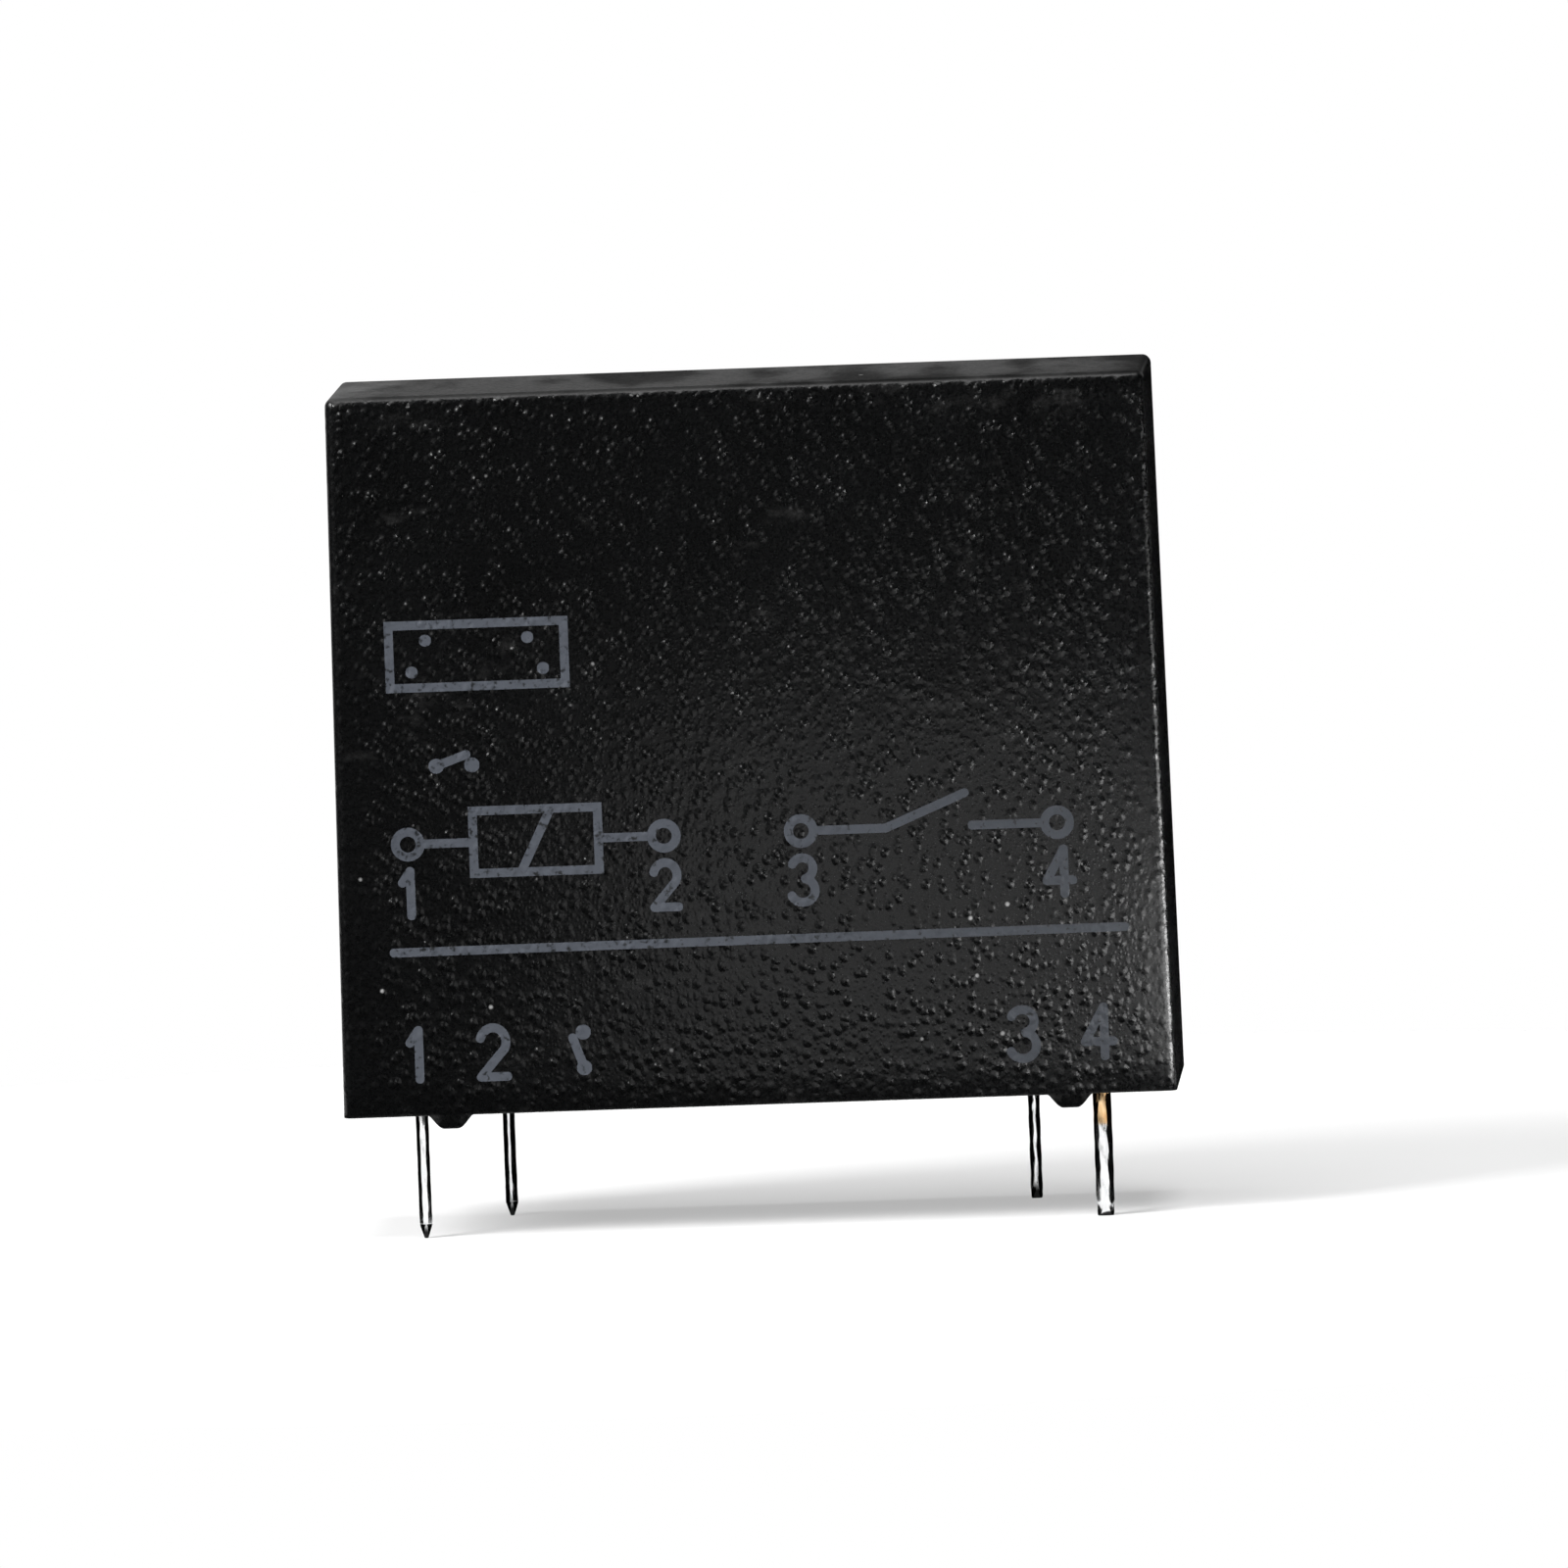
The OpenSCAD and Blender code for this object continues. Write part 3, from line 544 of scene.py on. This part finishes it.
def make_resin():
    """Closed slab of resin that fills the rim from wall to wall."""
    half_l, half_w = HALF_L - WALL - RESIN_FIT, HALF_W - WALL - RESIN_FIT
    nx, ny = 140, 46
    points, faces = [], []
    for i in range(nx + 1):
        for j in range(ny + 1):
            x, y = half_l * (2 * i / nx - 1), half_w * (2 * j / ny - 1)
            points.append((x, y, resin_level(x, y, half_l, half_w)))

    def at(i, j):
        return i * (ny + 1) + j

    for i in range(nx):
        for j in range(ny):
            faces.append((at(i, j), at(i, j + 1), at(i + 1, j + 1), at(i + 1, j)))
    border = [at(i, 0) for i in range(nx)] + [at(nx, j) for j in range(ny)]
    border += [at(i, ny) for i in range(nx, 0, -1)] + [at(0, j) for j in range(ny, 0, -1)]
    first = len(points)
    points += [(points[b][0], points[b][1], RESIN_HIGH) for b in border]
    for k, b in enumerate(border):
        n = (k + 1) % len(border)
        faces.append((b, border[n], first + n, first + k))
    faces.append(tuple(range(first, first + len(border))))
    resin = piece("resin_fill", points, faces, RESIN)
    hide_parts("sealing_resin")


make_resin()


# Tin on the pins: an uneven skin, up into the resin
END_COAT = 0.004


def oblong(angle, power):
    """Point on a rounded oblong of half size 1: a circle with power 1, and squarer below that."""
    return [math.copysign(abs(c) ** power, c) for c in (math.cos(angle), math.sin(angle))]


def make_tin(node, material, coat, tip_share, square, tip_square):
    """Skin of tin round one pin: its section is a rounded oblong that narrows to a share at the tip."""
    pin = PINS[node]
    around, rows, tip_rows = 40, 64, 6
    tip_top = FLOOR_Z + TIP_L
    levels = [FLOOR_Z - END_COAT + TIP_L * k / tip_rows for k in range(tip_rows)]
    levels += [tip_top + (RESIN_LOW - tip_top) * k / rows for k in range(rows + 1)]
    rings = []
    for z in levels:
        up = min(1.0, max(0.0, (z - FLOOR_Z) / TIP_L))
        share = tip_share + (1 - tip_share) * up
        power = tip_square + (square - tip_square) * up
        ring = []
        for k in range(around):
            a = 2 * math.pi * k / around
            slow, quick = math.sin(2.3 * z + pin.x), math.sin(6 * z + 5 * a + pin.y)
            swell = coat * (1.2 + 0.06 * slow + 0.14 * quick)
            px, py = oblong(a, power)
            ring.append((pin.x + (pin.half_x * share + swell) * px,
                         pin.y + (pin.half_y * share + swell) * py, z))
        rings.append(ring)
    points, faces = loft(rings)
    piece("tin_" + node, points, faces, material, sharp=60)


for coil_pin in ("coil_pin_front", "coil_pin_rear"):
    make_tin(coil_pin, TIN, coat=0.012, tip_share=0.25, square=1.0, tip_square=1.0)
for terminal, dip in (("moving_terminal", TIN), ("fixed_terminal", PART_TIN)):
    make_tin(terminal, dip, coat=0.03, tip_share=0.86, square=0.78, tip_square=0.6)


# Winding: a lathe of wire turns, in millimetres
WIRE_D = 0.12
WINDING_T = 1.06


def make_winding():
    """Ring of wire turns on the bobbin's tube."""
    low, high = in_mm(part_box("winding"))
    centre = (low[0] + high[0]) / 2
    outer = (high[0] - low[0]) / 2
    inner, groove = outer - WINDING_T, outer - WIRE_D / 2
    turns = int((high[2] - low[2]) / WIRE_D)
    step = (high[2] - low[2]) / turns
    around, bow = 72, 4
    profile = [(inner, low[2])]
    for i in range(turns):
        for k in range(bow):
            a = math.pi * k / bow
            rise = (1 - math.cos(a)) / 2
            profile.append((groove + WIRE_D / 2 * math.sin(a), low[2] + step * (i + rise)))
    profile += [(groove, high[2]), (inner, high[2])]
    points = []
    for r, z in profile:
        for k in range(around):
            a = 2 * math.pi * k / around
            points.append((centre + r * math.cos(a), r * math.sin(a), z))
    faces = []
    for i in range(len(profile)):
        n = (i + 1) % len(profile)
        for k in range(around):
            m = (k + 1) % around
            faces.append((i * around + k, i * around + m, n * around + m, n * around + k))
    winding = piece("wire_turns", points, faces, WIRE, sharp=75)
    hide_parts("winding")


make_winding()


# Contact leaf: a strip that narrows above the contact, in millimetres
TIP_RISE = 1.26


def make_leaf():
    """Strip with rounded upper corners above the contact."""
    low, high = in_mm(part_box("moving_spring"))
    contact_z = sum(corner[2] for corner in in_mm(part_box("moving_contact"))) / 2
    half = (high[1] - low[1]) / 2
    tip_r = math.hypot(half, TIP_RISE)
    rows, across = 90, 10
    rings = []
    for i in range(rows + 1):
        z = low[2] + (high[2] - low[2]) * i / rows
        above = max(0.0, z - contact_z)
        wide = min(half, math.sqrt(max(0.01, tip_r ** 2 - above ** 2)))
        ys = [wide * (2 * k / across - 1) for k in range(across + 1)]
        rings.append([(low[0], y, z) for y in ys] + [(high[0], y, z) for y in reversed(ys)])
    points, faces = loft(rings)
    leaf = piece("contact_leaf", points, faces, BRONZE, body=None)
    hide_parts("moving_spring")
    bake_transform(leaf)


make_leaf()


# Print on the front face: generic connection signs and terminal numbers, in millimetres
STROKE = 0.3
INK_T = 0.006
INK_STEP, INK_LEVELS = 0.0004, 8
FOOTPRINT_AT, FOOTPRINT_SCALE = (-8.95, 15.9), 0.21
UPPER_SIGN_AT, LOWER_SIGN_AT = (-9.85, 12.2), (-5.85, 2.5)
DIAGRAM_Z = 9.6
DIAGRAM_ENDS = (-11.5, -2.9, 1.7, 10.3)
RULE = ((-12.1, 5.97), (12.45, 6.02))
NUMBER_Z, NUMBER_H = 1.7, 1.65


def front_y(x, z):
    """Front face of the case at x and z."""
    lean = DRAFT * (z - RIM_Z)
    return sink(x / (HALF_L - lean), z) - (HALF_W - lean)


def arc_points(cx, cz, rx, rz, a0, a1, steps=14):
    """Points along an ellipse from a0 to a1 degrees."""
    angles = [math.radians(a0 + (a1 - a0) * k / steps) for k in range(steps + 1)]
    return [(cx + rx * math.cos(a), cz + rz * math.sin(a)) for a in angles]


def ribbon(path, width, closed=False):
    """Left and right points of a stroke's cross-sections along a path, with round ends if it is open."""
    count = len(path)
    points = [Vector(p) for p in path]
    r = width / 2

    def left(ahead):
        return Vector((-ahead.y, ahead.x))

    def beside(i):
        a = (points[i] - points[i - 1]).normalized() if closed or i > 0 else None
        b = (points[(i + 1) % count] - points[i]).normalized() if closed or i < count - 1 else a
        mitre = left(a or b) + left(b)
        return mitre * (2 * r / mitre.length_squared)

    def section(middle, side):
        return middle + side, middle - side

    body = [section(points[i], beside(i)) for i in range(count)]
    if closed:
        return body + body[:1]
    first = (points[1] - points[0]).normalized()
    last = (points[-1] - points[-2]).normalized()
    start, end = [], []
    for t in (math.radians(18 * k) for k in range(1, 5)):
        out, half = r * math.sin(t), r * math.cos(t)
        start.insert(0, section(points[0] - first * out, left(first) * half))
        end.append(section(points[-1] + last * out, left(last) * half))
    return start + body + end


def print_strokes(strokes):
    """One thin raised mesh of all the strokes on the front face."""
    points, faces = [], []
    for order, (path, closed, width) in enumerate(strokes):
        rows = ribbon(path, width, closed)
        thick = INK_T + INK_STEP * (order % INK_LEVELS)
        first = len(points)
        for left, right in rows:
            for x, z in (left, right):
                y = front_y(x, z)
                points.append((x, y - thick, z))
                points.append((x, y + INK_T, z))
        for i in range(len(rows) - 1):
            a, b = first + 4 * i, first + 4 * i + 4
            faces += [(a, a + 2, b + 2, b), (a + 1, b + 1, b + 3, a + 3)]
            faces += [(a + 1, a, b, b + 1), (a + 2, a + 3, b + 3, b + 2)]
        if not closed:
            e = first + 4 * (len(rows) - 1)
            faces += [(first, first + 1, first + 3, first + 2), (e, e + 2, e + 3, e + 1)]
    piece("front_print", points, faces, INK)


def line(*path):
    """Open stroke through the given points."""
    return (list(path), False, STROKE)


def loop(path):
    """Closed stroke through the given points."""
    return (path, True, STROKE)


def oblong_loop(x, z, half_l, half_h):
    """Closed stroke round an oblong."""
    corners = ((-1, -1), (1, -1), (1, 1), (-1, 1))
    return loop([(x + sx * half_l, z + sz * half_h) for sx, sz in corners])


def dot(x, z, r):
    """Filled dot."""
    return ([(x - r / 20, z), (x + r / 20, z)], False, 2 * r)


def numeral(digit, x, z, h):
    """Strokes of a plain numeral, centred on x with its foot at z."""
    w = 0.55 * h
    shapes = {
        1: [[(0.05, 1.0), (0.05, 0.0)], [(-0.28, 0.74), (0.05, 1.0)]],
        2: [arc_points(0.0, 0.71, 0.48, 0.29, 165, -30) + [(-0.48, 0.0)], [(-0.48, 0.0), (0.5, 0.0)]],
        3: [arc_points(0.0, 0.76, 0.44, 0.24, 155, -75), arc_points(0.0, 0.27, 0.5, 0.27, 75, -155)],
        4: [[(0.22, 0.0), (0.22, 1.0)], [(0.22, 1.0), (-0.5, 0.3)], [(-0.5, 0.3), (0.55, 0.3)]],
    }
    return [line(*[(x + px * w, z + pz * h) for px, pz in path]) for path in shapes[digit]]


def contact_sign(x, z, degrees):
    """Open contact of two dots and a raised lever, turned about its middle."""
    half, r = 0.6, 0.25
    c, s = math.cos(math.radians(degrees)), math.sin(math.radians(degrees))

    def at(px, pz):
        return x + px * c - pz * s, z + px * s + pz * c

    return [dot(*at(-half, 0), r), dot(*at(half, 0), r), line(at(-half, 0), at(half * 0.7, half * 0.6))]


def diagram(z):
    """Connection diagram: the coil between two terminals and the open contact between the other two."""
    ends = DIAGRAM_ENDS
    ring_r = 0.42
    coil_l, coil_h = 2.1, 1.05
    gap, lift = 1.45, 1.1
    drop, cap = 2.4, 1.5
    coil_x = (ends[0] + ends[1]) / 2
    contact_x = (ends[2] + ends[3]) / 2
    strokes = [loop(arc_points(x, z, ring_r, ring_r, 0, 345, 23)) for x in ends]
    strokes.append(oblong_loop(coil_x, z, coil_l, coil_h))
    strokes.append(line((coil_x - coil_h / 2, z - coil_h), (coil_x + coil_h / 2, z + coil_h)))
    leads = ((ends[0] + ring_r, coil_x - coil_l), (coil_x + coil_l, ends[1] - ring_r),
             (ends[2] + ring_r, contact_x - gap), (contact_x + gap, ends[3] - ring_r))
    strokes += [line((a, z), (b, z)) for a, b in leads]
    strokes.append(line((contact_x - gap, z), (contact_x + gap * 0.85, z + lift)))
    for digit, x in enumerate(ends, 1):
        strokes += numeral(digit, x, z - drop, cap)
    return strokes


def footprint(x, z, scale):
    """Outline of the relay's underside with its four pins, set in a little to clear the outline."""
    in_x, in_z, pin_r = 0.92, 0.66, 0.2
    strokes = [oblong_loop(x, z, HALF_L * scale, HALF_W * scale)]
    for pin in PINS.values():
        strokes.append(dot(x + pin.x * scale * in_x, z + pin.y * scale * in_z, pin_r))
    return strokes


def make_print():
    """All marks on the front face."""
    strokes = footprint(*FOOTPRINT_AT, FOOTPRINT_SCALE)
    strokes += contact_sign(*UPPER_SIGN_AT, 0)
    strokes += diagram(DIAGRAM_Z)
    strokes.append(line(*RULE))
    strokes += contact_sign(*LOWER_SIGN_AT, 90)
    for digit, pin in enumerate(PINS.values(), 1):
        strokes += numeral(digit, pin.x, NUMBER_Z, NUMBER_H)
    print_strokes(strokes)


make_print()

# Finish of the CAD nodes that show as they are
FINISHES = {
    "base": BASE, "bobbin": CREAM, "card": CREAM,
    "core": IRON, "yoke": IRON, "armature": IRON, "armature_spring": BRONZE,
    "spring_rivets": STEEL, "leaf_rivets": STEEL,
    "moving_contact": SILVER, "fixed_contact": SILVER,
    "moving_terminal": DRAWN, "fixed_terminal": COPPER,
    "coil_pin_front": DRAWN, "coil_pin_rear": DRAWN,
    "coil_lead_front": WIRE, "coil_lead_rear": WIRE,
}
EDGE_BREAK = 0.03


def dress(name, material):
    """Gives a CAD node its material and slightly broken edges."""
    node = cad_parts[name]
    node.data.materials.clear()
    node.data.materials.append(material)
    weld = node.modifiers.new("weld", "WELD")
    weld.merge_threshold = 1e-6
    bevel = node.modifiers.new("edges", "BEVEL")
    bevel.width = EDGE_BREAK * MM
    bevel.segments = 3
    bevel.limit_method = "ANGLE"
    bevel.angle_limit = math.radians(25)
    normals = node.modifiers.new("normals", "WEIGHTED_NORMAL")
    normals.keep_sharp = True


for name, material in FINISHES.items():
    dress(name, material)


# Studio: places in millimetres, and strengths of light
LAMP_TARGET = (0, 0, 10)
FLOOR_R = 70
FLOOR_LIFT = 0.45
ROOM_LIGHT = 0.025


def look_from(azimuth, elevation):
    """Unit vector from the object towards a place round it."""
    a, e = math.radians(azimuth), math.radians(elevation)
    return Vector((math.sin(a) * math.cos(e), -math.cos(a) * math.cos(e), math.sin(e)))


def make_camera():
    """Camera at the photograph's angle, far away behind a long lens."""
    back = look_from(CAMERA_AZIMUTH, CAMERA_ELEVATION)
    right = Vector((math.cos(math.radians(CAMERA_AZIMUTH)), math.sin(math.radians(CAMERA_AZIMUTH)), 0))
    up = back.cross(right)
    roll = math.radians(CAMERA_ROLL)
    across = right * math.cos(roll) + up * math.sin(roll)
    upward = up * math.cos(roll) - right * math.sin(roll)
    data = bpy.data.cameras.new("camera")
    data.sensor_width = 36
    data.lens = data.sensor_width * CAMERA_DISTANCE / (PHOTO_PIXELS / PIXELS_PER_MM)
    data.clip_start, data.clip_end = 0.01, 10
    camera = bpy.data.objects.new("camera", data)
    turn = Matrix((across, upward, back)).transposed()
    place = (Vector(CAMERA_TARGET) + back * CAMERA_DISTANCE) * MM
    camera.matrix_world = Matrix.Translation(place) @ turn.to_4x4()
    bpy.context.scene.collection.objects.link(camera)
    bpy.context.scene.camera = camera


def lamp(name, azimuth, elevation, distance, size, watts):
    """Soft square lamp that faces the object."""
    data = bpy.data.lights.new(name, "AREA")
    data.shape = "SQUARE"
    data.size = size * MM
    data.energy = watts
    obj = bpy.data.objects.new(name, data)
    toward = look_from(azimuth, elevation)
    obj.location = (Vector(LAMP_TARGET) + toward * distance) * MM
    obj.rotation_euler = toward.to_track_quat("Z", "Y").to_euler()
    bpy.context.scene.collection.objects.link(obj)


def make_floor():
    """Pale floor under the pins, lifted to white where the camera sees it, with the object's shadow."""
    s = Shader("pale_floor")
    lift = s.sums("MULTIPLY", s.sums("MAXIMUM", s.seen(), s.mirrored()), FLOOR_LIFT)
    tint = s.mix(s.noise(40, 2.0), grey(0.53), grey(0.57))
    floor_material = s.finish(Base_Color=tint, Roughness=0.9, Specular_IOR_Level=0.0,
                              Emission_Color=grey(1.0), Emission_Strength=lift)
    sides = 60
    rim = [math.radians(360 * k / sides) for k in range(sides)]
    points = [(FLOOR_R * math.cos(a), FLOOR_R * math.sin(a), FLOOR_Z - 2 * END_COAT) for a in rim]
    piece("floor", points, [tuple(range(sides))], floor_material, body=None)


# Cards: places in millimetres, and strengths of the reflectors
UNDER_RIM = RIM_Z - 0.01
UNDER_FEET = -0.02
BETWEEN_PINS = 4 * GRID
PIN_FLAGS = ((-14.5, -6.7), (-BETWEEN_PINS, 1.7), (-6.0, -8.9),
             (6.0, -12.8), (BETWEEN_PINS, 1.7), (14.5, -8.9))
PIN_FLAG_END = 6.0
SPOT_GAP, SPOT_W, SPOT_L = 0.1, 2.5, 1.5
FRONT_GAP = 0.1
FRONT_FLAG_LEFT, FRONT_FLAG_RIGHT, FRONT_FLAG_Y = -80.0, 15.0, -75.0
FOOT_FLAG_Y = -40.0
END_FLAG, END_FLAG_TOP = ((13.0, 12.0), (40.0, 12.0)), 30.0
Reflector = namedtuple("Reflector", "name start end low high strength")
REFLECTORS = (
    Reflector("front_reflector", (-5.0, -23.4), (15.0, -21.0), RIM_Z, 12.0, 1.4),
    Reflector("right_reflector", (15.0, -21.0), (24.0, -15.2), RIM_Z, 7.0, 10.0),
    Reflector("side_reflector", (55.7, -48.2), (73.1, -15.4), -3.7, 2.5, 75.0),
)


def card(name, corners, material):
    """Flat card that only reflections show."""
    obj = piece(name, corners, [(0, 1, 2, 3)], material, body=None)
    obj.visible_camera = obj.visible_diffuse = obj.visible_shadow = obj.visible_transmission = False


def upright(name, start, end, low, high, material):
    """Standing card between two places on the floor."""
    card(name, [(*start, low), (*end, low), (*end, high), (*start, high)], material)


def flat(name, start, end, z, material):
    """Level card between two opposite corners."""
    (x0, y0), (x1, y1) = start, end
    card(name, [(x0, y0, z), (x1, y0, z), (x1, y1, z), (x0, y1, z)], material)


def make_pin_flags(black):
    """Cards between the pins and on the floor round each of them, which give the tin dark edges."""
    for k, (x, y) in enumerate(PIN_FLAGS):
        upright(f"pin_flag_{k}", (x, y), (x, PIN_FLAG_END), FLOOR_Z, UNDER_RIM, black)
    for node, pin in PINS.items():
        front, middle, back = pin.y - SPOT_L, pin.y + pin.half_y, pin.y + SPOT_L
        for side in (-1, 1):
            inner, outer = pin.x + side * (pin.half_x + SPOT_GAP), pin.x + side * SPOT_W
            flat(f"{node}_flag_{side + 1}", (inner, front), (outer, middle), FLOOR_Z, black)
        flat(f"{node}_back_flag", (pin.x - SPOT_W, middle), (pin.x + SPOT_W, back), FLOOR_Z, black)


def make_case_flags(black):
    """Cards that keep the white floor and backdrop out of the case's front, feet and right end."""
    near = -HALF_W - FRONT_GAP
    flat("front_flag", (FRONT_FLAG_LEFT, near), (FRONT_FLAG_RIGHT, FRONT_FLAG_Y), UNDER_RIM, black)
    for side in (-1, 1):
        left, right = side * FOOT_X - FOOT_W / 2, side * FOOT_X + FOOT_W / 2
        flat(f"foot_flag_{side + 1}", (left, near), (right, FOOT_FLAG_Y), UNDER_FEET, black)
    upright("end_flag", *END_FLAG, FLOOR_Z, END_FLAG_TOP, black)


def make_reflectors():
    """White cards that light the grain and draw a line down the front right edge."""
    for reflector in REFLECTORS:
        s = Shader(reflector.name)
        glow = s.finish(Base_Color=grey(0.0), Emission_Color=grey(1.0), Emission_Strength=reflector.strength)
        glow.cycles.emission_sampling = "NONE"
        upright(reflector.name, reflector.start, reflector.end, reflector.low, reflector.high, glow)


def make_cards():
    """Black flags and white reflectors."""
    s = Shader("black_card")
    tint = s.mix(s.noise(60), grey(0.002), grey(0.004))
    black = s.finish(Base_Color=tint, Roughness=0.9, Specular_IOR_Level=0.0)
    make_pin_flags(black)
    make_case_flags(black)
    make_reflectors()


def make_world():
    """White backdrop, in reflections only behind the object, and a dim room for all other light."""
    world = bpy.data.worlds.new("studio")
    bpy.context.scene.world = world
    world.use_nodes = True
    s = Nodes(world.node_tree, "Generated")
    rear = s.ramp(s.axis("Y"), 0.3, 0.7, course="LINEAR")
    backdrop = s.sums("MAXIMUM", s.seen(), s.sums("MULTIPLY", s.mirrored(), rear))
    background = s.nodes["Background"].inputs
    s.feed(background["Strength"], s.sums("MAXIMUM", backdrop, ROOM_LIGHT))
    s.feed(background["Color"], grey(1.0))


make_camera()
make_floor()
make_cards()
make_world()
lamp("overhead", azimuth=10, elevation=78, distance=300, size=220, watts=0.85)
lamp("front_left", azimuth=-50, elevation=34, distance=320, size=140, watts=1.5)
bpy.context.scene.view_settings.view_transform = "Standard"
